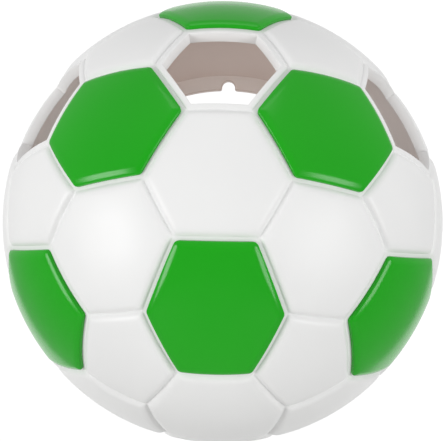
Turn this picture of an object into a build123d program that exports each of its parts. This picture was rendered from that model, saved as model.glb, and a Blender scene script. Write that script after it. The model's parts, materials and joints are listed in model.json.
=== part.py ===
"""Wall lamp for a child's room: a hollow football shade that hangs on one wall screw.

Millimetres and degrees. +Z is up, the wall is the plane y = 0 and the ball faces -Y.
The origin is the centre of the shade's back rim, on the wall plane.
"""
from build123d import *
from math import cos, radians, sin, sqrt
import os

os.makedirs("parts", exist_ok=True)

# Shade: a ball of 250 mm, cut off by the wall plane
CENTRE_DEPTH = 66.25            # ball centre in front of the wall
WHITE_R = 125.0                 # crown of the raised white panels
GREEN_R = 126.0                 # crown of the green panels
SEAM_R = 122.6                  # floor of the grooves between panels
INNER_R = 121.0                 # inside of the wall
FRAME_R = 123.2                 # outer face of the frame round an open window
COLLAR_R = 117.2                # inner end of the collar round an open window
RECESS_R = 122.1                # floor that a green panel is seated on
GROOVE = 1.2                    # half the width of a groove
FRAME_WIDTH = 4.0               # from a seam to the edge of a window
COLLAR_OUT = 0.8                # from a seam to the outside of a window's collar
GREEN_INSET = 2.0               # from a seam to the side of a green panel

# Rim that lies on the wall
RIM_R = 94.75
RIM_THICK = 4.0
RIM_MIDDLE = 99.6               # circle that the strap screws lie on
NOTCH_WIDTH = 8.0               # hanging notch, open towards the middle of the rim
NOTCH_DEPTH = 5.7

# Strap across the back, and the arm that carries the lampholder
STRAP_Z = -40.0
STRAP_WIDTH = 16.0
STRAP_THICK = 1.5
STRAP_END_R = 103.0
SCREW_R = 1.5                   # M3
SCREW_HEAD_R = 2.8
NUT_R = 3.1
NUT_HIGH = 2.4
ARM_HALF_WIDTH = 11.0
ARM_THICK = 1.5
ARM_TOP_Z = -50.5               # seat of the lampholder
ARM_REACH = 76.0
RIVET_R = 1.6
RIVET_SPACING = 12.0

# Lampholder and bulb stand on one upright axis (E14)
LAMP_Y = -62.0
CORD_R = 3.2
NIPPLE_R = 4.95
HOLDER_R = 14.5
HOLDER_WALL = 2.0
CAP_TOP_Z = -34.0
HOLDER_TOP_Z = -6.0
INSERT_TOP_Z = -27.0
SHELL_TOP_Z = -9.0
SHELL_INNER_R = 7.35
SHELL_THICK = 0.4
THREAD_R = 6.95                 # crest of the bulb's thread
THREAD_DEPTH = 0.5
THREAD_PITCH = 2.82
THREAD_TURNS = 4
TIP_Z = -24.7
BULB_CAP_Z = -19.5
COLLAR_Z = -3.0                 # metal cap meets the bulb's collar
DOME_R = 22.5
DOME_Z = 22.0
DOME_WALL = 1.2
BOARD_R = 15.0
BOARD_Z = 13.4

# Panel corners as (angle from the front of the ball, turn from +X towards +Z).
# Only the +X half is listed, from the bottom to the top: the -X half is its mirror image.
RING_A = ((17, -53), (18, 2), (19.4, 65.5))
RING_B = ((37, -60), (37, -2), (37, 61.5))
RING_C = ((51, -78), (49, -44), (49, -18), (51, 16), (51, 40), (48, 77))
RING_D = ((68, -71), (69, -52), (72, -11), (71, 10), (66, 47), (67, 70))
RING_E = ((87, -77), (86, -42), (85, -19), (86, 19), (86, 39), (86, 80))
RING_F = ((104, -73), (104, -47), (104, -13), (104, 13), (104, 47), (104, 73))
RING_G = ((118, -90), (118, -30), (118, 30), (118, 90))
RING_H = ((135, -69), (135, -51), (135, -9), (135, 9), (135, 51), (135, 69))

BALL = Vector(0, -CENTRE_DEPTH, 0)
SECTORS = 6


def direction(tilt, turn):
    """Unit vector from the ball's centre, tilted from the front and turned about it."""
    side = sin(radians(tilt))
    return Vector(side * cos(radians(turn)), -cos(radians(tilt)), side * sin(radians(turn)))


def whole_ring(half):
    """Both halves of a ring of corners, in order of their turn."""
    mirrored = [(tilt, 180 - turn) for tilt, turn in half if abs(turn) != 90]
    ring = sorted(list(half) + mirrored, key=lambda corner: corner[1])
    return [direction(tilt, turn) for tilt, turn in ring]


A, B, C, D, E, F, G, H = [
    whole_ring(half) for half in (RING_A, RING_B, RING_C, RING_D, RING_E, RING_F, RING_G, RING_H)
]


def crown_hexagon():
    return A


def inner_hexagon(n):
    """Between spokes n and n + 1, next to the crown."""
    m = (n + 1) % SECTORS
    return [A[n], B[n], C[2 * n + 1], C[2 * m], B[m], A[m]]


def front_pentagon(n):
    return [B[n], C[2 * n], D[2 * n], D[2 * n + 1], C[2 * n + 1]]


def outer_hexagon(n):
    """Between spokes n and n + 1, just in front of the ball's widest ring."""
    m = (n + 1) % SECTORS
    return [C[2 * n + 1], D[2 * n + 1], E[2 * n + 1], E[2 * m], D[2 * m], C[2 * m]]


def side_hexagon(n):
    return [D[2 * n], D[2 * n + 1], E[2 * n + 1], F[2 * n + 1], F[2 * n], E[2 * n]]


def back_pentagon(n):
    m = (n + 1) % SECTORS
    return [E[2 * n + 1], E[2 * m], F[2 * m], G[m], F[2 * n + 1]]


def rim_hexagon(n):
    m = (n + 1) % SECTORS
    return [F[2 * n], F[2 * n + 1], G[m], H[2 * n + 1], H[2 * n], G[n]]


GREEN_PANELS = {
    "green_panel_lower_centre": inner_hexagon(5),
    "green_panel_upper_right": inner_hexagon(1),
    "green_panel_upper_left": inner_hexagon(3),
    "green_panel_lower_right": outer_hexagon(0),
    "green_panel_top": outer_hexagon(2),
    "green_panel_lower_left": outer_hexagon(4),
}
WINDOWS = [inner_hexagon(2), outer_hexagon(1), outer_hexagon(3)]
WHITE_PANELS = [crown_hexagon(), inner_hexagon(0), inner_hexagon(4), outer_hexagon(5)]
for n in range(SECTORS):
    WHITE_PANELS += [front_pentagon(n), side_hexagon(n), back_pentagon(n), rim_hexagon(n)]


def panel_wedge(corners, inset):
    """Wedge that widens from the ball's centre through a panel, its sides moved in by inset."""
    middle = sum(corners, Vector(0, 0, 0)).normalized()
    with BuildPart() as wedge:
        for reach in (0.8 * INNER_R, 1.2 * WHITE_R):
            plane = Plane(origin=BALL + middle * reach, x_dir=middle.cross(corners[0]), z_dir=middle)
            points = [BALL + corner * (reach / corner.dot(middle)) for corner in corners]
            with BuildSketch(plane):
                with BuildLine():
                    Polyline(*[plane.to_local_coords(point) for point in points], close=True)
                make_face()
                offset(amount=-inset * reach / WHITE_R, kind=Kind.INTERSECTION, mode=Mode.REPLACE)
        loft(ruled=True)
    return wedge.part


def ball_layer(low, high):
    """Hollow ball between two radii."""
    with BuildPart() as layer:
        with Locations(BALL):
            Sphere(high)
            Sphere(low, mode=Mode.SUBTRACT)
    return layer.part


def panel_layer(panels, inset, low, high):
    """The part of every listed panel's wedge that lies between two radii."""
    with BuildPart() as layer:
        for corners in panels:
            add(panel_wedge(corners, inset))
        add(ball_layer(low, high), mode=Mode.INTERSECT)
    return layer.part


def finish(piece, name):
    """Name a finished piece and write it out."""
    piece.part.label = name
    export_step(piece.part, f"parts/{name}.step")


# ---- Shade -------------------------------------------------------------------------------

white_relief = panel_layer(WHITE_PANELS, GROOVE, INNER_R + 0.5, WHITE_R)
window_frames = panel_layer(WINDOWS, GROOVE, INNER_R + 0.5, FRAME_R)
window_collars = panel_layer(WINDOWS, COLLAR_OUT, COLLAR_R, INNER_R + 0.5)
window_holes = [panel_wedge(corners, FRAME_WIDTH) for corners in WINDOWS]
panel_seats = panel_layer(GREEN_PANELS.values(), GREEN_INSET - 0.2, RECESS_R, WHITE_R + 5)
screw_x = sqrt(RIM_MIDDLE**2 - STRAP_Z**2)
screw_points = [(-screw_x, STRAP_Z), (screw_x, STRAP_Z)]
back_rim_r = sqrt(SEAM_R**2 - CENTRE_DEPTH**2)
step_rim_r = sqrt(INNER_R**2 - (CENTRE_DEPTH - RIM_THICK) ** 2)

with BuildPart() as shade_shell:
    with BuildSketch(Plane.YZ):
        with BuildLine():
            RadiusArc((-CENTRE_DEPTH - SEAM_R, 0), (-CENTRE_DEPTH, SEAM_R), SEAM_R)
            RadiusArc((-CENTRE_DEPTH, SEAM_R), (0, back_rim_r), SEAM_R)
            Polyline((0, back_rim_r), (0, RIM_R), (-RIM_THICK, RIM_R), (-RIM_THICK, step_rim_r))
            RadiusArc((-RIM_THICK, step_rim_r), (-CENTRE_DEPTH, INNER_R), -INNER_R)
            RadiusArc((-CENTRE_DEPTH, INNER_R), (-CENTRE_DEPTH - INNER_R, 0), -INNER_R)
            Line((-CENTRE_DEPTH - INNER_R, 0), (-CENTRE_DEPTH - SEAM_R, 0))
        make_face()
    revolve(axis=Axis.Y)
    add(white_relief)
    add(window_frames)
    add(window_collars)
    for hole in window_holes:
        add(hole, mode=Mode.SUBTRACT)
    add(panel_seats, mode=Mode.SUBTRACT)
    split(bisect_by=Plane.XZ, keep=Keep.TOP)
    # hanging notch in the top of the rim
    notch_z = RIM_R + NOTCH_DEPTH - NOTCH_WIDTH / 2
    with BuildSketch(Plane.XZ):
        with Locations((0, notch_z)):
            Circle(NOTCH_WIDTH / 2)
        with Locations((0, notch_z)):
            Rectangle(NOTCH_WIDTH, 2 * NOTCH_DEPTH, align=(Align.CENTER, Align.MAX))
    extrude(amount=2 * RIM_THICK, mode=Mode.SUBTRACT)
    # countersunk holes for the strap screws, from the wall side
    with BuildSketch(Plane.XZ):
        with Locations(*screw_points):
            Circle(SCREW_R + 0.1)
    extrude(amount=2 * RIM_THICK, mode=Mode.SUBTRACT)
    with BuildSketch(Plane.XZ):
        with Locations(*screw_points):
            Circle(SCREW_HEAD_R + 0.2)
    extrude(amount=SCREW_HEAD_R - SCREW_R, taper=45, mode=Mode.SUBTRACT)
finish(shade_shell, "shade_shell")

for name, corners in GREEN_PANELS.items():
    with BuildPart() as green_panel:
        add(panel_wedge(corners, GREEN_INSET))
        add(ball_layer(RECESS_R + 0.05, GREEN_R), mode=Mode.INTERSECT)
    finish(green_panel, name)


# ---- Strap and arm -----------------------------------------------------------------------

strap_front = -RIM_THICK - STRAP_THICK
arm_front = strap_front - ARM_THICK
rivet_points = [(-RIVET_SPACING / 2, STRAP_Z), (RIVET_SPACING / 2, STRAP_Z)]

with BuildPart() as back_strap:
    with BuildSketch(Plane.XZ.offset(RIM_THICK)):
        Circle(STRAP_END_R)
        with Locations((0, STRAP_Z)):
            Rectangle(2 * STRAP_END_R, STRAP_WIDTH, mode=Mode.INTERSECT)
        with Locations(*rivet_points):
            Circle(RIVET_R + 0.05, mode=Mode.SUBTRACT)
        with Locations(*screw_points):
            Circle(SCREW_R + 0.1, mode=Mode.SUBTRACT)
    extrude(amount=STRAP_THICK)
finish(back_strap, "back_strap")

with BuildPart() as strap_screws:
    head_high = SCREW_HEAD_R - SCREW_R
    screw_long = RIM_THICK + STRAP_THICK + NUT_HIGH + 1
    for point in screw_points:
        with BuildSketch(Plane.XZ.offset(0.1)):
            with Locations(point):
                Circle(SCREW_R)
        extrude(amount=screw_long)
        with BuildSketch(Plane.XZ.offset(0.1)):
            with Locations(point):
                Circle(SCREW_HEAD_R)
        extrude(amount=head_high, taper=45)
        with BuildSketch(Plane.XZ.offset(0.1)):
            with Locations(point):
                Rectangle(3.4, 0.8)
                Rectangle(0.8, 3.4)
        extrude(amount=0.7, mode=Mode.SUBTRACT)
finish(strap_screws, "strap_screws")

with BuildPart() as strap_nuts:
    for point in screw_points:
        with BuildSketch(Plane.XZ.offset(-strap_front)):
            with Locations(point):
                RegularPolygon(NUT_R, 6)
                Circle(SCREW_R, mode=Mode.SUBTRACT)
        extrude(amount=NUT_HIGH)
finish(strap_nuts, "strap_nuts")

with BuildPart() as holder_arm:
    with BuildSketch(Plane.YZ):
        with BuildLine():
            Polyline(
                (strap_front, STRAP_Z + STRAP_WIDTH / 2),
                (strap_front, ARM_TOP_Z - ARM_THICK),
                (-ARM_REACH, ARM_TOP_Z - ARM_THICK),
                (-ARM_REACH, ARM_TOP_Z),
                (arm_front, ARM_TOP_Z),
                (arm_front, STRAP_Z + STRAP_WIDTH / 2),
                close=True,
            )
        make_face()
    extrude(amount=ARM_HALF_WIDTH, both=True)
    fillet(holder_arm.edges().filter_by(Axis.X).sort_by_distance((0, strap_front, ARM_TOP_Z))[0], 1.4)
    fillet(holder_arm.edges().filter_by(Axis.Z).group_by(Axis.Y)[0], 6)
    with Locations(Plane.XY.offset(ARM_TOP_Z)):
        with Locations((0, LAMP_Y)):
            Hole(NIPPLE_R + 0.15)
    with Locations(Plane.XZ.offset(-arm_front)):
        with Locations(*rivet_points):
            Hole(RIVET_R + 0.05)
finish(holder_arm, "holder_arm")

with BuildPart() as arm_rivets:
    for point in rivet_points:
        with BuildSketch(Plane.XZ.offset(RIM_THICK)):
            with Locations(point):
                Circle(RIVET_R)
        extrude(amount=STRAP_THICK + ARM_THICK)
        for height, dome_side in ((RIM_THICK, -1), (-arm_front, 1)):
            with BuildSketch(Plane.XZ.offset(height)):
                with Locations(point):
                    Circle(1.8 * RIVET_R)
            extrude(amount=dome_side * 1.2, taper=20)
finish(arm_rivets, "arm_rivets")


# ---- Lampholder --------------------------------------------------------------------------

def lamp_axis(z):
    """Level plane at a height on the lamp's axis."""
    return Plane(origin=(0, LAMP_Y, z))


LAMP_PROFILE = Plane(origin=(0, LAMP_Y, 0), x_dir=(1, 0, 0), z_dir=(0, -1, 0))
LAMP_AXIS = Axis((0, LAMP_Y, 0), (0, 0, 1))
GRIP_LOW_Z = ARM_TOP_Z - ARM_THICK - 13
GRIP_TOP_Z = ARM_TOP_Z - ARM_THICK - 1

with BuildPart() as lock_washer:
    with BuildSketch(lamp_axis(GRIP_TOP_Z)):
        Circle(8.5)
        Circle(NIPPLE_R + 0.1, mode=Mode.SUBTRACT)
        with PolarLocations(8.5, 12):
            Circle(0.8, mode=Mode.SUBTRACT)
    extrude(amount=1)
finish(lock_washer, "lock_washer")

with BuildPart() as cord_grip:
    with BuildSketch(lamp_axis(GRIP_LOW_Z)):
        RegularPolygon(7, 6, major_radius=False)
    extrude(amount=GRIP_TOP_Z - GRIP_LOW_Z)
    with BuildSketch(lamp_axis(GRIP_TOP_Z)):
        Circle(NIPPLE_R)
    extrude(amount=9)
    chamfer(cord_grip.faces().sort_by(Axis.Z)[-1].edges(), 0.6)
    with BuildSketch(lamp_axis(GRIP_LOW_Z)):
        Circle(CORD_R)
    extrude(amount=30, mode=Mode.SUBTRACT)
    with BuildSketch(Plane.XZ.offset(-LAMP_Y)):
        with Locations((0, GRIP_LOW_Z + 5)):
            Circle(1.6)
    extrude(amount=8, mode=Mode.SUBTRACT)
finish(cord_grip, "cord_grip")

with BuildPart() as grip_screw:
    with BuildSketch(Plane.XZ.offset(-LAMP_Y + CORD_R + 0.3)):
        with Locations((0, GRIP_LOW_Z + 5)):
            Circle(1.55)
    extrude(amount=6)
    with BuildSketch(Plane.XZ.offset(-LAMP_Y + CORD_R + 5.9)):
        with Locations((0, GRIP_LOW_Z + 5)):
            Rectangle(0.7, 4)
    extrude(amount=1, mode=Mode.SUBTRACT)
finish(grip_screw, "grip_screw")

with BuildPart() as holder_cap:
    with BuildSketch(LAMP_PROFILE):
        with BuildLine():
            Polyline((NIPPLE_R + 0.05, ARM_TOP_Z), (9, ARM_TOP_Z), (9, ARM_TOP_Z + 2))
            Line((9, ARM_TOP_Z + 2), (HOLDER_R - 0.5, ARM_TOP_Z + 9))
            Line((HOLDER_R - 0.5, ARM_TOP_Z + 9), (HOLDER_R - 0.5, CAP_TOP_Z))
            Line((HOLDER_R - 0.5, CAP_TOP_Z), (HOLDER_R - 2.5, CAP_TOP_Z))
            Line((HOLDER_R - 2.5, CAP_TOP_Z), (HOLDER_R - 2.5, ARM_TOP_Z + 10))
            Line((HOLDER_R - 2.5, ARM_TOP_Z + 10), (NIPPLE_R + 2.5, ARM_TOP_Z + 6))
            Line((NIPPLE_R + 2.5, ARM_TOP_Z + 6), (NIPPLE_R + 0.05, ARM_TOP_Z + 6))
            Line((NIPPLE_R + 0.05, ARM_TOP_Z + 6), (NIPPLE_R + 0.05, ARM_TOP_Z))
        make_face()
    revolve(axis=LAMP_AXIS)
    with BuildSketch(lamp_axis(CAP_TOP_Z)):
        with PolarLocations(HOLDER_R - 0.5, 24):
            Circle(0.5, mode=Mode.ADD)
    extrude(amount=-6, mode=Mode.SUBTRACT)
finish(holder_cap, "holder_cap")

skirt_r = HOLDER_R - 2.6
with BuildPart() as holder_barrel:
    with BuildSketch(LAMP_PROFILE):
        with BuildLine():
            Polyline(
                (skirt_r, CAP_TOP_Z - 4),
                (skirt_r, CAP_TOP_Z + 0.2),
                (HOLDER_R, CAP_TOP_Z + 0.2),
                (HOLDER_R - 0.8, HOLDER_TOP_Z),
                (HOLDER_R - 0.8 - HOLDER_WALL, HOLDER_TOP_Z),
                (HOLDER_R - 0.8 - HOLDER_WALL, INSERT_TOP_Z - 0.5),
                (skirt_r - 1.4, INSERT_TOP_Z - 6),
                (skirt_r - 1.4, CAP_TOP_Z - 4),
                close=True,
            )
        make_face()
    revolve(axis=LAMP_AXIS)
finish(holder_barrel, "holder_barrel")

insert_r = skirt_r - 1.5
screw_post = 7.0
with BuildPart() as holder_insert:
    with BuildSketch(lamp_axis(CAP_TOP_Z - 3)):
        Circle(insert_r)
    extrude(amount=INSERT_TOP_Z - CAP_TOP_Z + 3)
    with BuildSketch(lamp_axis(INSERT_TOP_Z)):
        Circle(SHELL_INNER_R + SHELL_THICK + 1.6)
        Circle(SHELL_INNER_R + SHELL_THICK + 0.05, mode=Mode.SUBTRACT)
    extrude(amount=SHELL_TOP_Z - INSERT_TOP_Z - 1)
    with BuildSketch(lamp_axis(CAP_TOP_Z - 3)):
        with Locations((screw_post, 0), (-screw_post, 0)):
            Circle(1.8)
    extrude(amount=5, mode=Mode.SUBTRACT)
finish(holder_insert, "holder_insert")

with BuildPart() as terminal_screws:
    with BuildSketch(lamp_axis(CAP_TOP_Z - 2.5)):
        with Locations((screw_post, 0), (-screw_post, 0)):
            Circle(1.75)
    extrude(amount=4)
    with BuildSketch(lamp_axis(CAP_TOP_Z - 2.5)):
        with Locations((screw_post, 0), (-screw_post, 0)):
            Rectangle(3.6, 0.6)
    extrude(amount=0.8, mode=Mode.SUBTRACT)
finish(terminal_screws, "terminal_screws")

with BuildPart() as screw_shell:
    with BuildSketch(lamp_axis(INSERT_TOP_Z + 0.05)):
        Circle(SHELL_INNER_R + SHELL_THICK)
        Circle(SHELL_INNER_R, mode=Mode.SUBTRACT)
    extrude(amount=SHELL_TOP_Z - INSERT_TOP_Z)
finish(screw_shell, "screw_shell")

spring_low = INSERT_TOP_Z + 0.05
with BuildPart() as centre_contact:
    with BuildSketch(LAMP_PROFILE):
        with BuildLine():
            Polyline((-5, spring_low + 0.2), (-2.4, spring_low + 0.2), (-1, TIP_Z - 0.5), (2, TIP_Z - 0.5))
        trace(line_width=0.4)
    extrude(amount=1.8, both=True)
finish(centre_contact, "centre_contact")


# ---- Bulb --------------------------------------------------------------------------------

with BuildPart() as bulb_tip:
    with BuildSketch(lamp_axis(TIP_Z)):
        Circle(3.2)
    extrude(amount=2)
    fillet(bulb_tip.faces().sort_by(Axis.Z)[0].edges(), 1.2)
finish(bulb_tip, "bulb_tip")

with BuildPart() as bulb_insulator:
    with BuildSketch(LAMP_PROFILE):
        with BuildLine():
            Polyline(
                (0, TIP_Z + 2.05),
                (3.6, TIP_Z + 2.05),
                (THREAD_R - THREAD_DEPTH - 0.3, BULB_CAP_Z),
                (THREAD_R - THREAD_DEPTH - 0.3, BULB_CAP_Z + 1.5),
                (0, BULB_CAP_Z + 1.5),
                close=True,
            )
        make_face()
    revolve(axis=LAMP_AXIS)
finish(bulb_insulator, "bulb_insulator")

root_r = THREAD_R - THREAD_DEPTH
neck_z = BULB_CAP_Z + THREAD_PITCH * THREAD_TURNS
with BuildPart() as bulb_cap:
    with BuildSketch(LAMP_PROFILE):
        with BuildLine():
            for turn in range(THREAD_TURNS):
                low = BULB_CAP_Z + turn * THREAD_PITCH
                ThreePointArc((root_r, low), (THREAD_R, low + THREAD_PITCH / 2), (root_r, low + THREAD_PITCH))
            Polyline((root_r, neck_z), (root_r, COLLAR_Z), (root_r - 0.25, COLLAR_Z))
            Polyline((root_r - 0.25, COLLAR_Z), (root_r - 0.25, BULB_CAP_Z), (root_r, BULB_CAP_Z))
        make_face()
    revolve(axis=LAMP_AXIS)
finish(bulb_cap, "bulb_cap")

collar_top_r = 20.4
collar_top_z = DOME_Z - sqrt(DOME_R**2 - collar_top_r**2)
with BuildPart() as bulb_collar:
    with BuildSketch(LAMP_PROFILE):
        with BuildLine():
            Line((root_r + 0.1, COLLAR_Z - 4), (root_r + 1.2, COLLAR_Z - 4))
            Spline(
                (root_r + 1.2, COLLAR_Z - 4),
                (10.4, COLLAR_Z + 4),
                (collar_top_r, collar_top_z),
                tangents=((0.1, 1), (0.6, 1)),
            )
            Polyline(
                (collar_top_r, collar_top_z),
                (collar_top_r - 2, collar_top_z),
                (8.6, COLLAR_Z + 4.5),
                (root_r + 0.1, COLLAR_Z - 1),
                (root_r + 0.1, COLLAR_Z - 4),
            )
        make_face()
    revolve(axis=LAMP_AXIS)
finish(bulb_collar, "bulb_collar")

with BuildPart() as bulb_dome:
    with BuildSketch(LAMP_PROFILE):
        with Locations((0, DOME_Z)):
            Circle(DOME_R)
            Circle(DOME_R - DOME_WALL, mode=Mode.SUBTRACT)
        with Locations((0, collar_top_z)):
            Rectangle(DOME_R, 2 * DOME_R, align=(Align.MIN, Align.MIN), mode=Mode.INTERSECT)
    revolve(axis=LAMP_AXIS)
finish(bulb_dome, "bulb_dome")

with BuildPart() as led_board:
    with BuildSketch(lamp_axis(BOARD_Z - 1.6)):
        Circle(BOARD_R)
        Circle(1.5, mode=Mode.SUBTRACT)
    extrude(amount=1.6)
finish(led_board, "led_board")

with BuildPart() as led_chips:
    with BuildSketch(lamp_axis(BOARD_Z)):
        with PolarLocations(9, 8):
            Rectangle(3.5, 2.8)
    extrude(amount=0.8)
finish(led_chips, "led_chips")
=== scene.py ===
import json
from math import asin, atan2, cos, pi, radians, sin, sqrt

import bmesh
import bpy
from mathutils import Matrix, Vector
from mathutils.geometry import tessellate_polygon


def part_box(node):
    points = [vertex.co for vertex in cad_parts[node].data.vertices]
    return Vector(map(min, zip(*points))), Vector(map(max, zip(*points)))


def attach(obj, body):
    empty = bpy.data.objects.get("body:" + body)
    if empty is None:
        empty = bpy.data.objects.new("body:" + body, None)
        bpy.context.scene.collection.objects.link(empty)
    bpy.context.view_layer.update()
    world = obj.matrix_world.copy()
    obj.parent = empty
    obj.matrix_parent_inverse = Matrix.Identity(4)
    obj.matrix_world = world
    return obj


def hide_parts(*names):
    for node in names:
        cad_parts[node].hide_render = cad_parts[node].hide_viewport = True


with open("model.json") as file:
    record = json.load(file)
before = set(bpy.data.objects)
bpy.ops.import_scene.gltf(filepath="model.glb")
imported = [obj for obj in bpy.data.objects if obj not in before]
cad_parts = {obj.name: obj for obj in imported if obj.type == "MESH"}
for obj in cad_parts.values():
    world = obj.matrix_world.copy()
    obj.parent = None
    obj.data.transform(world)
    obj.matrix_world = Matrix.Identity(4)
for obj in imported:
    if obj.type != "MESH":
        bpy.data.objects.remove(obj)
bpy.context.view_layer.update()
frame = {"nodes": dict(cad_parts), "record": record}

MM = 0.001
MERGE = 0.02                    # points nearer than this are one point
SECTORS = 6

# Shade, as in the CAD model. Radii are from the ball's centre, but for those of the rim
WHITE_R = 125.0                 # crown of the raised white panels
SEAM_R = 122.6                  # floor of the grooves between panels
INNER_R = 121.0                 # inside of the wall
FRAME_R = 123.2                 # outer face of the frame round an open window
COLLAR_R = 117.2                # inner end of the collar round an open window
FRAME_WIDTH = 4.0               # from a seam to the edge of a window
COLLAR_OUT = 0.8                # from a seam to the outside of a window's collar
RIM_R = 94.75
RIM_THICK = 4.0
RIM_MIDDLE = 99.6               # circle that the strap screws lie on
NOTCH_HALF = 4.0                # half the width of the hanging notch
NOTCH_DEPTH = 5.7
NOTCH_FILLET = 1.2              # rounding where the notch meets the rim's opening
shell_low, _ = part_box("shade_shell")
BALL = Vector((0, shell_low.y / MM + WHITE_R, 0))

# Relief of the panels
SEAM_FLOOR = 0.4                # half the width of a groove's flat bottom
SHOULDER = 4.2                  # width of a white panel's rounded edge
SHOULDER_POWER = 2.4            # how round that edge is
WHITE_BULGE = 0.35              # how far a white panel's middle stands out past its shoulder
GRID_STEPS = 14                 # from a panel's corner to the middle of its edge
GRID_GRADING = 1.6              # above 1, points crowd towards the seams
GREEN_GAP = 2.0                 # from a seam to the green panel's side
GREEN_CORNER = 3.4              # rounding of the green panel's corners
GREEN_EDGE = ((0.0, 124.0), (0.1, 124.32), (0.3, 124.55), (0.5, 124.68))    # (inset, radius)
GREEN_SHOULDER = 4.4            # width of the slope that levels out from that edge
GREEN_SHOULDER_R = 125.75       # where that slope ends
GREEN_R = 126.0                 # crown of the green panels

# Panel corners as (angle from the front of the ball, turn from +X towards +Z).
# Only the +X half is listed, from the bottom to the top: the -X half is its mirror image.
RING_A = ((17, -53), (18, 2), (19.4, 65.5))
RING_B = ((37, -60), (37, -2), (37, 61.5))
RING_C = ((51, -78), (49, -44), (49, -18), (51, 16), (51, 40), (48, 77))
RING_D = ((68, -71), (69, -52), (72, -11), (71, 10), (66, 47), (67, 70))
RING_E = ((87, -77), (86, -42), (85, -19), (86, 19), (86, 39), (86, 80))
RING_F = ((104, -73), (104, -47), (104, -13), (104, 13), (104, 47), (104, 73))
RING_G = ((118, -90), (118, -30), (118, 30), (118, 90))
RING_H = ((135, -69), (135, -51), (135, -9), (135, 9), (135, 51), (135, 69))


def direction(tilt, turn):
    """Unit vector from the ball's centre, tilted from the front and turned about it."""
    side = sin(radians(tilt))
    return Vector((side * cos(radians(turn)), -cos(radians(tilt)), side * sin(radians(turn))))


def whole_ring(half):
    """Both halves of a ring of corners, in order of their turn."""
    mirrored = [(tilt, 180 - turn) for tilt, turn in half if abs(turn) != 90]
    ring = sorted(list(half) + mirrored, key=lambda corner: corner[1])
    return [direction(tilt, turn) for tilt, turn in ring]


A, B, C, D, E, F, G, H = [
    whole_ring(half) for half in (RING_A, RING_B, RING_C, RING_D, RING_E, RING_F, RING_G, RING_H)
]


def inner_hexagon(n):
    """Between spokes n and n + 1, next to the crown."""
    m = (n + 1) % SECTORS
    return [A[n], B[n], C[2 * n + 1], C[2 * m], B[m], A[m]]


def front_pentagon(n):
    return [B[n], C[2 * n], D[2 * n], D[2 * n + 1], C[2 * n + 1]]


def outer_hexagon(n):
    """Between spokes n and n + 1, just in front of the ball's widest ring."""
    m = (n + 1) % SECTORS
    return [C[2 * n + 1], D[2 * n + 1], E[2 * n + 1], E[2 * m], D[2 * m], C[2 * m]]


def side_hexagon(n):
    return [D[2 * n], D[2 * n + 1], E[2 * n + 1], F[2 * n + 1], F[2 * n], E[2 * n]]


def back_pentagon(n):
    m = (n + 1) % SECTORS
    return [E[2 * n + 1], E[2 * m], F[2 * m], G[m], F[2 * n + 1]]


def rim_hexagon(n):
    m = (n + 1) % SECTORS
    return [F[2 * n], F[2 * n + 1], G[m], H[2 * n + 1], H[2 * n], G[n]]


def wall_triangle(n):
    """Between two rim hexagons, behind the wall plane but for its front corner."""
    m = (n + 1) % SECTORS
    return [G[m], H[2 * n + 1], H[2 * m]]


GREEN_PANELS = {
    "green_panel_lower_centre": inner_hexagon(5),
    "green_panel_upper_right": inner_hexagon(1),
    "green_panel_upper_left": inner_hexagon(3),
    "green_panel_lower_right": outer_hexagon(0),
    "green_panel_top": outer_hexagon(2),
    "green_panel_lower_left": outer_hexagon(4),
}
WINDOWS = [inner_hexagon(2), outer_hexagon(1), outer_hexagon(3)]
WHITE_PANELS = [A, inner_hexagon(0), inner_hexagon(4), outer_hexagon(5)]
for sector in range(SECTORS):
    WHITE_PANELS += [front_pentagon(sector), side_hexagon(sector)]
    WHITE_PANELS += [back_pentagon(sector), rim_hexagon(sector), wall_triangle(sector)]


# ---- Mesh building -----------------------------------------------------------------------

class Skin:
    """Points and faces of a mesh, in millimetres. Points that meet are merged at the end."""

    def __init__(self):
        self.points = []
        self.faces = []
        self.looks = []

    def grid(self, rows, look=0, closed=False):
        """Four-sided faces between rows that all have the same number of points."""
        start = len(self.points)
        wide = len(rows[0])
        for row in rows:
            self.points += row
        for r in range(len(rows) - 1):
            for k in range(wide if closed else wide - 1):
                a = start + r * wide + k
                b = start + r * wide + (k + 1) % wide
                self.faces.append((a, b, b + wide, a + wide))
                self.looks.append(look)

    def fan(self, row, tip, look=0):
        """Triangles from a closed row of points to one point."""
        start = len(self.points)
        self.points += row + [tip]
        for k in range(len(row)):
            self.faces.append((start + k, start + (k + 1) % len(row), start + len(row)))
            self.looks.append(look)

    def bmesh(self):
        mesh = bpy.data.meshes.new("skin")
        mesh.from_pydata([point * MM for point in self.points], [], self.faces)
        mesh.polygons.foreach_set("material_index", self.looks)
        made = bmesh.new()
        made.from_mesh(mesh)
        bpy.data.meshes.remove(mesh)
        bmesh.ops.remove_doubles(made, verts=made.verts, dist=MERGE * MM)
        return made


def piece_from(made, name, sharp_degrees=38):
    """Object from a finished bmesh, with smooth faces and sharp corners."""
    bmesh.ops.recalc_face_normals(made, faces=made.faces)
    mesh = bpy.data.meshes.new(name)
    made.to_mesh(mesh)
    made.free()
    mesh.shade_smooth()
    mesh.set_sharp_from_angle(angle=radians(sharp_degrees))
    piece = bpy.data.objects.new(name, mesh)
    bpy.context.scene.collection.objects.link(piece)
    return piece


def edge_normals(corners):
    """Inward normals of the planes through the ball's centre and each edge of a panel."""
    middle = sum(corners, Vector())
    normals = []
    for i, corner in enumerate(corners):
        normal = corner.cross(corners[(i + 1) % len(corners)]).normalized()
        normals.append(normal if normal.dot(middle) > 0 else -normal)
    return normals


def edge_distance(normals, point, inset=0.0, sharpness=4):
    """Distance to a panel's inset edges over the ball, blended where two edges are as near."""
    total = 0.0
    for normal in normals:
        distance = WHITE_R * asin(max(-1.0, min(1.0, point.dot(normal)))) - inset
        if distance < 0.001:
            return 0.0
        total += distance**-sharpness
    return total ** (-1 / sharpness)


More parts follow.
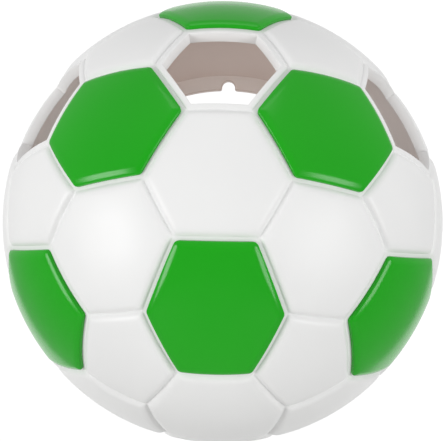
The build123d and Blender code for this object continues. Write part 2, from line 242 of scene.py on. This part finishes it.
def doming(corners, inset=0.0):
    """How high a panel's dome stands at a point: 0 at its inset edges and 1 at its middle."""
    normals = edge_normals(corners)
    middle = sum(corners, Vector()).normalized()
    reach = edge_distance(normals, middle, inset, 2)

    def height(point):
        share = min(1.0, edge_distance(normals, point, inset, 2) / reach)
        return 1 - (1 - share) ** 2

    return height


def graded(steps, power):
    return [(k / steps) ** power for k in range(steps + 1)]


def corner_grids(corners):
    """Grids of unit vectors, one per corner, that cover a panel with four-sided faces."""
    middle = sum(corners, Vector()).normalized()
    steps = graded(GRID_STEPS, GRID_GRADING)
    for i, corner in enumerate(corners):
        ahead = (corner + corners[(i + 1) % len(corners)]).normalized()
        behind = (corner + corners[i - 1]).normalized()
        rows = []
        for v in steps:
            start = corner.lerp(behind, v)
            end = ahead.lerp(middle, v)
            rows.append([start.lerp(end, u).normalized() for u in steps])
        yield rows


def white_relief(corners):
    """Radius of a white panel's face: a groove's flat bottom, a round shoulder, a slight dome."""
    normals = edge_normals(corners)
    dome = doming(corners)

    def radius(point):
        rise = min(1.0, max(0.0, (edge_distance(normals, point) - SEAM_FLOOR) / SHOULDER))
        shoulder = (WHITE_R - WHITE_BULGE - SEAM_R) * (1 - (1 - rise) ** SHOULDER_POWER)
        return SEAM_R + shoulder + WHITE_BULGE * dome(point)

    return radius


def level(radius):
    """A face that follows the ball at one radius."""
    return lambda point: radius


def add_panel(skin, corners, radius_at, look=0):
    """Covers one panel with points whose distance from the ball's centre is radius_at(point)."""
    for rows in corner_grids(corners):
        skin.grid([[BALL + q * radius_at(q) for q in row] for row in rows], look)


def inset_ring(corners, inset):
    """Closed row of unit vectors round a panel, moved in from its edges by inset."""
    normals = edge_normals(corners)
    offset = sin(inset / WHITE_R)
    moved = []
    for i, corner in enumerate(corners):
        one, other = normals[i - 1], normals[i]
        flat = (one + other) * (offset / (1 + one.dot(other)))
        rest = one.cross(other).normalized() * sqrt(1 - flat.length_squared)
        moved.append(flat + rest if rest.dot(corner) > 0 else flat - rest)
    steps = graded(GRID_STEPS, GRID_GRADING)
    ring = []
    for i, corner in enumerate(moved):
        ahead = moved[(i + 1) % len(moved)]
        half = (corner + ahead).normalized()
        ring += [corner.lerp(half, t).normalized() for t in steps[:-1]]
        ring += [ahead.lerp(half, t).normalized() for t in reversed(steps[1:])]
    return ring


# ---- Shade -------------------------------------------------------------------------------

# INSIDE and RIM pick copies of the white plastic with painted shade and painted light.
OUTSIDE, INSIDE, RIM = 0, 1, 2     # the shade's materials

# Edge of an open window, from its seam round its collar to the inside: (inset, radius)
WINDOW_FACE = (
    (0.0, SEAM_R),
    (SEAM_FLOOR, SEAM_R),
    (0.8, FRAME_R - 0.2),
    (1.2, FRAME_R),
    (FRAME_WIDTH - 0.6, FRAME_R),
    (FRAME_WIDTH - 0.2, FRAME_R - 0.12),
    (FRAME_WIDTH, FRAME_R - 0.5),
    (FRAME_WIDTH, COLLAR_R + 0.4),
    (FRAME_WIDTH - 0.12, COLLAR_R + 0.1),
    (FRAME_WIDTH - 0.4, COLLAR_R),
)
COLLAR_FACE = (
    (FRAME_WIDTH - 0.4, COLLAR_R),
    (COLLAR_OUT + 0.4, COLLAR_R),
    (COLLAR_OUT + 0.1, COLLAR_R + 0.1),
    (COLLAR_OUT, COLLAR_R + 0.4),
    (COLLAR_OUT, INNER_R),
    (0.0, INNER_R),
)

SCREW_HEIGHT = -40.0
SCREW_SPREAD = sqrt(RIM_MIDDLE**2 - SCREW_HEIGHT**2)
SCREW_HOLE = ((3.0, 0.0), (1.6, -1.3), (1.6, -RIM_THICK))      # countersunk from the wall: (radius, y)
RIM_EDGE = 0.5                  # rounding of the rim's free edge
RIM_STEPS = 180
FILLET_STEPS = 6
NOTCH_STEPS = 24


def cut(made, y):
    """Cuts a bmesh along a plane parallel to the wall and keeps what is in front of it."""
    geometry = made.verts[:] + made.edges[:] + made.faces[:]
    bmesh.ops.bisect_plane(
        made, geom=geometry, dist=1e-7, plane_co=(0, y * MM, 0), plane_no=(0, 1, 0), clear_outer=True
    )


def join(made, other):
    """Adds another bmesh to a bmesh."""
    mesh = bpy.data.meshes.new("joined")
    other.to_mesh(mesh)
    other.free()
    made.from_mesh(mesh)
    bpy.data.meshes.remove(mesh)


def rim_outline(widen, y):
    """Closed row round the rim's opening and its hanging notch, widened by an amount."""
    radius = RIM_R + widen
    half = NOTCH_HALF + widen
    fillet = NOTCH_FILLET - widen
    fillet_x = NOTCH_HALF + NOTCH_FILLET
    fillet_z = sqrt(RIM_R**2 - NOTCH_HALF**2) + NOTCH_FILLET
    arc_z = RIM_R + NOTCH_DEPTH - NOTCH_HALF
    gap = asin(fillet_x / RIM_R)
    points = []
    for k in range(RIM_STEPS + 1):
        turn = pi / 2 - gap - (2 * pi - 2 * gap) * k / RIM_STEPS
        points.append(Vector((radius * cos(turn), y, radius * sin(turn))))
    for k in range(1, FILLET_STEPS + 1):
        turn = -pi / 2 + pi / 2 * k / FILLET_STEPS
        points.append(Vector((-fillet_x + fillet * cos(turn), y, fillet_z + fillet * sin(turn))))
    for k in range(NOTCH_STEPS + 1):
        turn = pi - pi * k / NOTCH_STEPS
        points.append(Vector((half * cos(turn), y, arc_z + half * sin(turn))))
    for k in range(FILLET_STEPS):
        turn = pi + pi / 2 * k / FILLET_STEPS
        points.append(Vector((fillet_x + fillet * cos(turn), y, fillet_z + fillet * sin(turn))))
    return points


def circle_row(x, z, radius, y, steps=32):
    turns = [2 * pi * k / steps for k in range(steps)]
    return [Vector((x + radius * cos(t), y, z + radius * sin(t))) for t in turns]


def open_loops(made, y):
    """Rows of points round each open edge that lies at one distance from the wall."""
    level = y * MM
    edges = [e for e in made.edges if e.is_boundary and all(abs(v.co.y - level) < 1e-6 for v in e.verts)]
    beside = {}
    for edge in edges:
        for vert in edge.verts:
            beside.setdefault(vert, []).append(edge.other_vert(vert))
    loops = []
    left = dict.fromkeys(beside)
    while left:
        loop = [next(iter(left))]
        del left[loop[0]]
        while True:
            onward = [v for v in beside[loop[-1]] if v in left]
            if not onward:
                break
            loop.append(onward[0])
            del left[onward[0]]
        loops.append(loop)
    return loops


def flat_fill(made, y, look):
    """Fills the flat ring between all open edges that lie at one distance from the wall."""
    loops = open_loops(made, y)
    outlines = [[Vector((v.co.x, v.co.z, 0)) for v in loop] for loop in loops]
    verts = [v for loop in loops for v in loop]
    for a, b, c in tessellate_polygon(outlines):
        made.faces.new((verts[a], verts[b], verts[c])).material_index = look


def rim_edging():
    """Rounded free edge of the rim and its notch, and the sides of the two screw holes."""
    edging = Skin()
    soft = RIM_EDGE * (1 - sqrt(0.5))
    profile = ((RIM_EDGE, 0.0), (soft, -soft), (0.0, -RIM_EDGE))
    rows = [rim_outline(widen, y) for widen, y in profile]
    rows += [rim_outline(widen, -RIM_THICK - y) for widen, y in reversed(profile)]
    edging.grid(rows, INSIDE, closed=True)
    for x in (-SCREW_SPREAD, SCREW_SPREAD):
        edging.grid([circle_row(x, SCREW_HEIGHT, radius, y) for radius, y in SCREW_HOLE], INSIDE, closed=True)
    return edging.bmesh()


def make_shade():
    outer = Skin()
    for corners in WHITE_PANELS:
        add_panel(outer, corners, white_relief(corners), OUTSIDE)
    for corners in GREEN_PANELS.values():
        add_panel(outer, corners, level(SEAM_R), OUTSIDE)
    for corners in WINDOWS:
        for section, look in ((WINDOW_FACE, OUTSIDE), (COLLAR_FACE, INSIDE)):
            rows = [[BALL + q * radius for q in inset_ring(corners, inset)] for inset, radius in section]
            outer.grid(rows, look, closed=True)
    made = outer.bmesh()
    cut(made, 0.0)

    inner = Skin()
    for corners in WHITE_PANELS + list(GREEN_PANELS.values()):
        add_panel(inner, corners, level(INNER_R), INSIDE)
    lining = inner.bmesh()
    cut(lining, -RIM_THICK)

    join(made, lining)
    join(made, rim_edging())
    bmesh.ops.remove_doubles(made, verts=made.verts, dist=MERGE * MM)
    flat_fill(made, 0.0, OUTSIDE)
    flat_fill(made, -RIM_THICK, RIM)
    return piece_from(made, "shade")


# ---- Green panels ------------------------------------------------------------------------

CORNER_STEPS = 6                # across a rounded corner
EDGE_STEPS = 14                 # along a straight edge
SHOULDER_STEPS = 8
DOME_STEPS = 14
BASE_STEPS = 6
LEAST_CORNER = 0.6              # corners are never rounded less than this


def flat_corners(corners):
    """Panel corners on the plane that touches the ball at the panel's middle, and that plane."""
    middle = sum(corners, Vector()).normalized()
    across = (corners[0] - middle * corners[0].dot(middle)).normalized()
    along = middle.cross(across)
    points = []
    for corner in corners:
        reached = corner * (WHITE_R / corner.dot(middle))
        points.append(Vector((reached.dot(across), reached.dot(along))))
    area = sum(p.x * q.y - q.x * p.y for p, q in zip(points, points[1:] + points[:1]))
    if area < 0:
        points.reverse()
    return points, (middle, across, along)


def rounded_row(points, inset, corner_radius):
    """Closed row round a flat outline, moved in by inset, with its corners rounded."""
    count = len(points)
    sides = []
    for i, point in enumerate(points):
        run = (points[(i + 1) % count] - point).normalized()
        sides.append((point, run, Vector((run.y, -run.x))))
    row = []
    arcs = []
    for i in range(count):
        out_a, out_b = sides[i - 1][2], sides[i][2]
        keep = 1 + out_a.dot(out_b)
        centre = points[i] - (out_a + out_b) * ((inset + corner_radius) / keep)
        start = atan2(out_a.y, out_a.x)
        turn = (atan2(out_b.y, out_b.x) - start) % (2 * pi)
        angles = [start + turn * k / CORNER_STEPS for k in range(CORNER_STEPS + 1)]
        arcs.append([centre + Vector((cos(a), sin(a))) * corner_radius for a in angles])
    for i, arc in enumerate(arcs):
        after = arcs[(i + 1) % count][0]
        row += arc
        row += [arc[-1].lerp(after, k / EDGE_STEPS) for k in range(1, EDGE_STEPS)]
    return row


def make_green_panel(name, corners):
    """A glossy cushion-shaped plate with rounded corners and a soft shoulder."""
    points, (middle, across, along) = flat_corners(corners)

    def lift(row, radius):
        placed = []
        for p in row:
            q = (middle * WHITE_R + across * p.x + along * p.y).normalized()
            placed.append(BALL + q * radius)
        return placed

    def moved_in(inset):
        return rounded_row(points, GREEN_GAP + inset, max(GREEN_CORNER - inset, LEAST_CORNER))

    edge = moved_in(0.0)
    rows = [lift(edge, SEAM_R)] + [lift(moved_in(inset), radius) for inset, radius in GREEN_EDGE]
    start, start_radius = GREEN_EDGE[-1]
    for k in range(1, SHOULDER_STEPS + 1):
        share = k / SHOULDER_STEPS
        radius = start_radius + (GREEN_SHOULDER_R - start_radius) * (2 * share - share**2)
        inner_edge = moved_in(start + GREEN_SHOULDER * share)
        rows.append(lift(inner_edge, radius))
    dome = doming(corners, GREEN_GAP + start + GREEN_SHOULDER)
    bulge = GREEN_R - GREEN_SHOULDER_R
    for k in range(1, DOME_STEPS):
        flat = lift([p * (1 - k / DOME_STEPS) for p in inner_edge], 1.0)
        directions = [point - BALL for point in flat]
        rows.append([BALL + q * (GREEN_SHOULDER_R + bulge * dome(q)) for q in directions])
    skin = Skin()
    skin.grid(rows, closed=True)
    skin.fan(rows[-1], BALL + middle * GREEN_R)
    base = [lift([p * (1 - k / BASE_STEPS) for p in edge], SEAM_R) for k in range(BASE_STEPS)]
    skin.grid(base, closed=True)
    skin.fan(base[-1], BALL + middle * SEAM_R)
    return piece_from(skin.bmesh(), name, sharp_degrees=50)


# ---- Materials ---------------------------------------------------------------------------

def material(name, colour, roughness, metallic=0.0, **sockets):
    """Principled material; sockets are further inputs, with _ for a space in their names."""
    made = bpy.data.materials.new(name)
    made.use_nodes = True
    shader = made.node_tree.nodes["Principled BSDF"]
    shader.inputs["Base Color"].default_value = (*colour, 1)
    shader.inputs["Roughness"].default_value = roughness
    shader.inputs["Metallic"].default_value = metallic
    for socket, value in sockets.items():
        shader.inputs[socket.replace("_", " ")].default_value = value
    return made


def noise(made, scale, detail=3.0):
    """Noise over the object's own coordinates, in metres."""
    nodes, links = made.node_tree.nodes, made.node_tree.links
    place = nodes.new("ShaderNodeTexCoord")
    texture = nodes.new("ShaderNodeTexNoise")
    texture.inputs["Scale"].default_value = scale
    texture.inputs["Detail"].default_value = detail
    links.new(place.outputs["Object"], texture.inputs["Vector"])
    return texture.outputs["Fac"]


def ramp(made, source, low, high):
    """Turns a 0 to 1 value into one between two colours or numbers."""
    nodes, links = made.node_tree.nodes, made.node_tree.links
    if isinstance(low, tuple):
        mixed = nodes.new("ShaderNodeMix")
        mixed.data_type = "RGBA"
        mixed.inputs["A"].default_value = (*low, 1)
        mixed.inputs["B"].default_value = (*high, 1)
        links.new(source, mixed.inputs["Factor"])
        return mixed.outputs[2]
    mapped = nodes.new("ShaderNodeMapRange")
    mapped.inputs["From Min"].default_value = 0.3
    mapped.inputs["From Max"].default_value = 0.7
    mapped.inputs["To Min"].default_value = low
    mapped.inputs["To Max"].default_value = high
    links.new(source, mapped.inputs["Value"])
    return mapped.outputs["Result"]


def detail(made, colour_pair=None, roughness_pair=None, blotch=30.0, grain=2500.0, bump=0.02, depth=0.00005):
    """Adds slow colour and roughness variation and a fine surface grain."""
    nodes, links = made.node_tree.nodes, made.node_tree.links
    shader = nodes["Principled BSDF"]
    slow = noise(made, blotch)
    if colour_pair:
        links.new(ramp(made, slow, *colour_pair), shader.inputs["Base Color"])
    if roughness_pair:
        links.new(ramp(made, slow, *roughness_pair), shader.inputs["Roughness"])
    if bump:
        raised = nodes.new("ShaderNodeBump")
        raised.inputs["Strength"].default_value = bump
        raised.inputs["Distance"].default_value = depth
        links.new(noise(made, grain, 2.0), raised.inputs["Height"])
        links.new(raised.outputs["Normal"], shader.inputs["Normal"])
    return made


def white_plastic():
    made = material("white_plastic", (0.84, 0.84, 0.84), 0.42, Specular_IOR_Level=0.5)
    return detail(made, ((0.83, 0.83, 0.83), (0.86, 0.86, 0.855)), (0.38, 0.48), 25.0, 1800.0, 0.12)


def to_the_side(made, near, far):
    """0 to 1 with the distance left or right of the object's middle plane, in metres."""
    nodes, links = made.node_tree.nodes, made.node_tree.links
    place = nodes.new("ShaderNodeTexCoord")
    split = nodes.new("ShaderNodeSeparateXYZ")
    positive = nodes.new("ShaderNodeMath")
    positive.operation = "ABSOLUTE"
    mapped = nodes.new("ShaderNodeMapRange")
    mapped.inputs["From Min"].default_value = near
    mapped.inputs["From Max"].default_value = far
    links.new(place.outputs["Object"], split.inputs["Vector"])
    links.new(split.outputs["X"], positive.inputs[0])
    links.new(positive.outputs["Value"], mapped.inputs["Value"])
    return mapped.outputs["Result"]


def painted_shade_and_light_lining():
    """The inside of the wall, with painted shade and painted light: the white plastic is painted warm grey in
    the middle, where shade falls, and paler at the sides, where light comes in through the windows.
    """
    made = material("lining_painted_shade_and_light", (0.80, 0.69, 0.64), 0.55)
    colour = ramp(made, to_the_side(made, 0.045, 0.095), (0.79, 0.68, 0.63), (0.96, 0.92, 0.90))
    made.node_tree.links.new(colour, made.node_tree.nodes["Principled BSDF"].inputs["Base Color"])
    return detail(made, None, (0.50, 0.62), 18.0, 1500.0, 0.15)


# Painted light: a paler, warm copy of the lining for the rim's inner face, where light falls in through the
# top window. The real rim is the same white plastic.
def rim_painted_light():
    made = material("rim_painted_light", (0.94, 0.87, 0.83), 0.5)
    return detail(made, ((0.92, 0.85, 0.81), (0.96, 0.90, 0.86)), (0.46, 0.58), 18.0, 1500.0, 0.15)


def green_gloss():
    made = material("green_gloss", (0.009, 0.37, 0.006), 0.20, Specular_IOR_Level=0.3)
    return detail(made, ((0.006, 0.355, 0.005), (0.013, 0.39, 0.008)), (0.17, 0.24), 12.0, 900.0, 0.03)


def zinc_plate():
    made = material("zinc_plate", (0.62, 0.62, 0.60), 0.34, 1.0)
    return detail(made, ((0.55, 0.56, 0.55), (0.68, 0.67, 0.63)), (0.26, 0.46), 90.0, 1200.0, 0.15)


def rivet_metal():
    made = material("rivet_aluminium", (0.74, 0.74, 0.75), 0.30, 1.0)
    return detail(made, ((0.70, 0.70, 0.71), (0.80, 0.80, 0.80)), (0.24, 0.38), 200.0, 2500.0, 0.1)


def holder_plastic():
    made = material("holder_plastic", (0.80, 0.80, 0.76), 0.26)
    return detail(made, ((0.78, 0.78, 0.74), (0.83, 0.83, 0.79)), (0.22, 0.34), 60.0, 2200.0, 0.08)


def nylon():
    made = material("nylon", (0.74, 0.72, 0.64), 0.45)
    return detail(made, ((0.71, 0.69, 0.61), (0.78, 0.76, 0.69)), (0.40, 0.55), 120.0, 3000.0, 0.1)


def insert_plastic():
    made = material("insert_plastic", (0.70, 0.69, 0.64), 0.5)
    return detail(made, ((0.66, 0.65, 0.60), (0.73, 0.72, 0.68)), (0.44, 0.6), 90.0, 2600.0, 0.15)


def brass():
    made = material("brass", (0.74, 0.54, 0.22), 0.28, 1.0)
    return detail(made, ((0.66, 0.47, 0.18), (0.80, 0.60, 0.27)), (0.20, 0.40), 140.0, 2200.0, 0.1)


def solder():
    made = material("solder", (0.62, 0.62, 0.64), 0.36, 1.0)
    return detail(made, ((0.52, 0.52, 0.54), (0.70, 0.70, 0.72)), (0.28, 0.5), 320.0, 1400.0, 0.3)


def black_glass():
    made = material("black_glass", (0.012, 0.012, 0.014), 0.12)
    return detail(made, ((0.010, 0.010, 0.011), (0.018, 0.018, 0.021)), (0.10, 0.2), 200.0, 1800.0, 0.05)


def nickel():
    made = material("nickel", (0.66, 0.63, 0.57), 0.22, 1.0)
    return detail(made, ((0.60, 0.57, 0.51), (0.72, 0.69, 0.63)), (0.16, 0.34), 160.0, 2400.0, 0.08)


def bulb_plastic():
    made = material("bulb_plastic", (0.86, 0.86, 0.85), 0.32)
    return detail(made, ((0.84, 0.84, 0.83), (0.88, 0.88, 0.87)), (0.28, 0.4), 70.0, 2600.0, 0.06)


def opal():
    made = material("opal", (0.92, 0.92, 0.89), 0.42, Subsurface_Weight=0.25, Subsurface_Scale=0.004)
    return detail(made, ((0.90, 0.90, 0.87), (0.94, 0.94, 0.92)), (0.38, 0.5), 60.0, 2800.0, 0.05)


def board_mask():
    made = material("board_mask", (0.82, 0.83, 0.83), 0.35)
    return detail(made, ((0.78, 0.79, 0.79), (0.85, 0.86, 0.86)), (0.30, 0.42), 150.0, 2400.0, 0.05)


def phosphor():
    made = material("phosphor", (0.86, 0.70, 0.16), 0.4)
    return detail(made, ((0.82, 0.64, 0.12), (0.90, 0.76, 0.22)), (0.34, 0.5), 400.0, 3000.0, 0.1)


FINISHES = {
    "white_shade": white_plastic(),
    "green_panel": green_gloss(),
    "zinc_steel": zinc_plate(),
    "rivet_aluminium": rivet_metal(),
    "holder_plastic": holder_plastic(),
    "grip_nylon": nylon(),
    "insert_plastic": insert_plastic(),
    "brass": brass(),
    "tip_solder": solder(),
    "black_glass": black_glass(),
    "nickel": nickel(),
    "bulb_plastic": bulb_plastic(),
    "opal_dome": opal(),
    "board": board_mask(),
    "chips": phosphor(),
}


# ---- The object --------------------------------------------------------------------------

shade = make_shade()
shade.data.materials.append(FINISHES["white_shade"])
# Index 1: the lining, with painted shade and painted light; index 2: the rim's inner face, with painted
# light.
shade.data.materials.append(painted_shade_and_light_lining())
shade.data.materials.append(rim_painted_light())
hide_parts("shade_shell")
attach(shade, "lamp")

for panel_name, panel_corners in GREEN_PANELS.items():
    panel = make_green_panel(panel_name.replace("green_panel", "gloss_panel"), panel_corners)
    panel.data.materials.append(FINISHES["green_panel"])
    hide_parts(panel_name)
    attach(panel, "lamp")

for subpart in frame["record"]["subparts"]:
    node = frame["nodes"][subpart["node"]]
    node.data.materials.clear()
    node.data.materials.append(FINISHES[subpart["material_slot"]])


# ---- Studio, in metres -------------------------------------------------------------------

FLOOR_Z = -1.15
FLOOR_SIZE = 12
BACKDROP_PLACE = (0, 2.3, 0.4)
BACKDROP_SIZE = 3.2
SKY_LEVEL = 0.6                 # height on the unit sphere above which the sky is evenly bright
SKY_STRENGTH = 0.62
SOFTBOXES = (                   # (name, place, size, power)
    ("softbox_left", (-1.30, -0.95, -0.31), (0.65, 0.80), 12.5),
    ("softbox_right", (1.26, -0.99, -0.31), (0.65, 0.80), 10.5),
    ("softbox_top", (0.0, -1.0, 1.5), (1.2, 0.8), 4.0),
)
CAMERA_DISTANCE = 1.0           # from the ball's centre
CAMERA_TURN = 1.51              # degrees to the right of the front
CAMERA_CLIMB = -10.247          # degrees above the level, so it looks up from below
CAMERA_ROLL = 1.366


def flat_sheet(name, centre, size_x, size_y, turn=Matrix.Identity(4)):
    made = bmesh.new()
    bmesh.ops.create_grid(made, x_segments=8, y_segments=8, size=0.5)
    bmesh.ops.scale(made, vec=(size_x, size_y, 1), verts=made.verts)
    mesh = bpy.data.meshes.new(name)
    made.to_mesh(mesh)
    made.free()
    sheet = bpy.data.objects.new(name, mesh)
    sheet.matrix_world = Matrix.Translation(centre) @ turn
    bpy.context.scene.collection.objects.link(sheet)
    return sheet


def softbox(name, place, size, power):
    """Area light that faces the ball's centre."""
    light = bpy.data.lights.new(name, "AREA")
    light.shape = "RECTANGLE"
    light.size, light.size_y = size
    light.energy = power
    lamp = bpy.data.objects.new(name, light)
    lamp.location = place
    aim = BALL * MM - Vector(place)
    lamp.rotation_mode = "QUATERNION"
    lamp.rotation_quaternion = aim.to_track_quat("-Z", "Y")
    bpy.context.scene.collection.objects.link(lamp)


def pale_floor():
    made = material("pale_floor", (0.62, 0.62, 0.61), 0.7)
    return detail(made, ((0.60, 0.60, 0.59), (0.64, 0.64, 0.63)), (0.65, 0.8), 3.0, 80.0, 0.05)


def backdrop_glow():
    """Even white light from the backdrop, a little over white, with no shading."""
    made = bpy.data.materials.new("backdrop_glow")
    made.use_nodes = True
    nodes, links = made.node_tree.nodes, made.node_tree.links
    nodes.clear()
    emission = nodes.new("ShaderNodeEmission")
    emission.inputs["Color"].default_value = (1, 1, 1, 1)
    emission.inputs["Strength"].default_value = 1.05
    output = nodes.new("ShaderNodeOutputMaterial")
    links.new(emission.outputs["Emission"], output.inputs["Surface"])
    return made


def soft_sky():
    """White sky that is dark below and brightens upwards, up to SKY_LEVEL."""
    world = bpy.data.worlds.new("studio")
    world.use_nodes = True
    nodes, links = world.node_tree.nodes, world.node_tree.links
    sky = nodes["Background"]
    place = nodes.new("ShaderNodeTexCoord")
    split = nodes.new("ShaderNodeSeparateXYZ")
    brightness = nodes.new("ShaderNodeMapRange")
    brightness.inputs["From Min"].default_value = -1.0
    brightness.inputs["From Max"].default_value = SKY_LEVEL
    brightness.inputs["To Min"].default_value = 0.0
    brightness.inputs["To Max"].default_value = SKY_STRENGTH
    links.new(place.outputs["Generated"], split.inputs["Vector"])
    links.new(split.outputs["Z"], brightness.inputs["Value"])
    links.new(brightness.outputs["Result"], sky.inputs["Strength"])
    sky.inputs["Color"].default_value = (1, 1, 1, 1)
    bpy.context.scene.world = world


def studio():
    floor = flat_sheet("floor", (0, 0, FLOOR_Z), FLOOR_SIZE, FLOOR_SIZE)
    floor.data.materials.append(pale_floor())
    upright = Matrix.Rotation(pi / 2, 4, "X")
    backdrop = flat_sheet("backdrop", BACKDROP_PLACE, BACKDROP_SIZE, BACKDROP_SIZE, upright)
    backdrop.data.materials.append(backdrop_glow())
    soft_sky()
    for name, place, size, power in SOFTBOXES:
        softbox(name, place, size, power)


def add_camera():
    """Camera slightly under the ball's middle, a little to the right, and rolled by a degree."""
    turn, climb, roll = radians(CAMERA_TURN), radians(CAMERA_CLIMB), radians(CAMERA_ROLL)
    back = Vector((sin(turn) * cos(climb), -cos(turn) * cos(climb), sin(climb)))
    right = (-back).cross(Vector((0, 0, 1))).normalized()
    up = right.cross(-back)
    rolled_right = right * cos(roll) + up * sin(roll)
    rolled_up = up * cos(roll) - right * sin(roll)
    data = bpy.data.cameras.new("camera")
    data.sensor_width = 36.0
    data.lens = 141.0
    data.shift_x = 0.0008
    data.shift_y = 0.0053
    camera = bpy.data.objects.new("camera", data)
    facing = Matrix((rolled_right, rolled_up, back)).transposed()
    camera.matrix_world = Matrix.Translation(BALL * MM + back * CAMERA_DISTANCE) @ facing.to_4x4()
    bpy.context.scene.collection.objects.link(camera)
    bpy.context.scene.camera = camera


add_camera()
studio()
bpy.context.scene.view_settings.view_transform = "Standard"
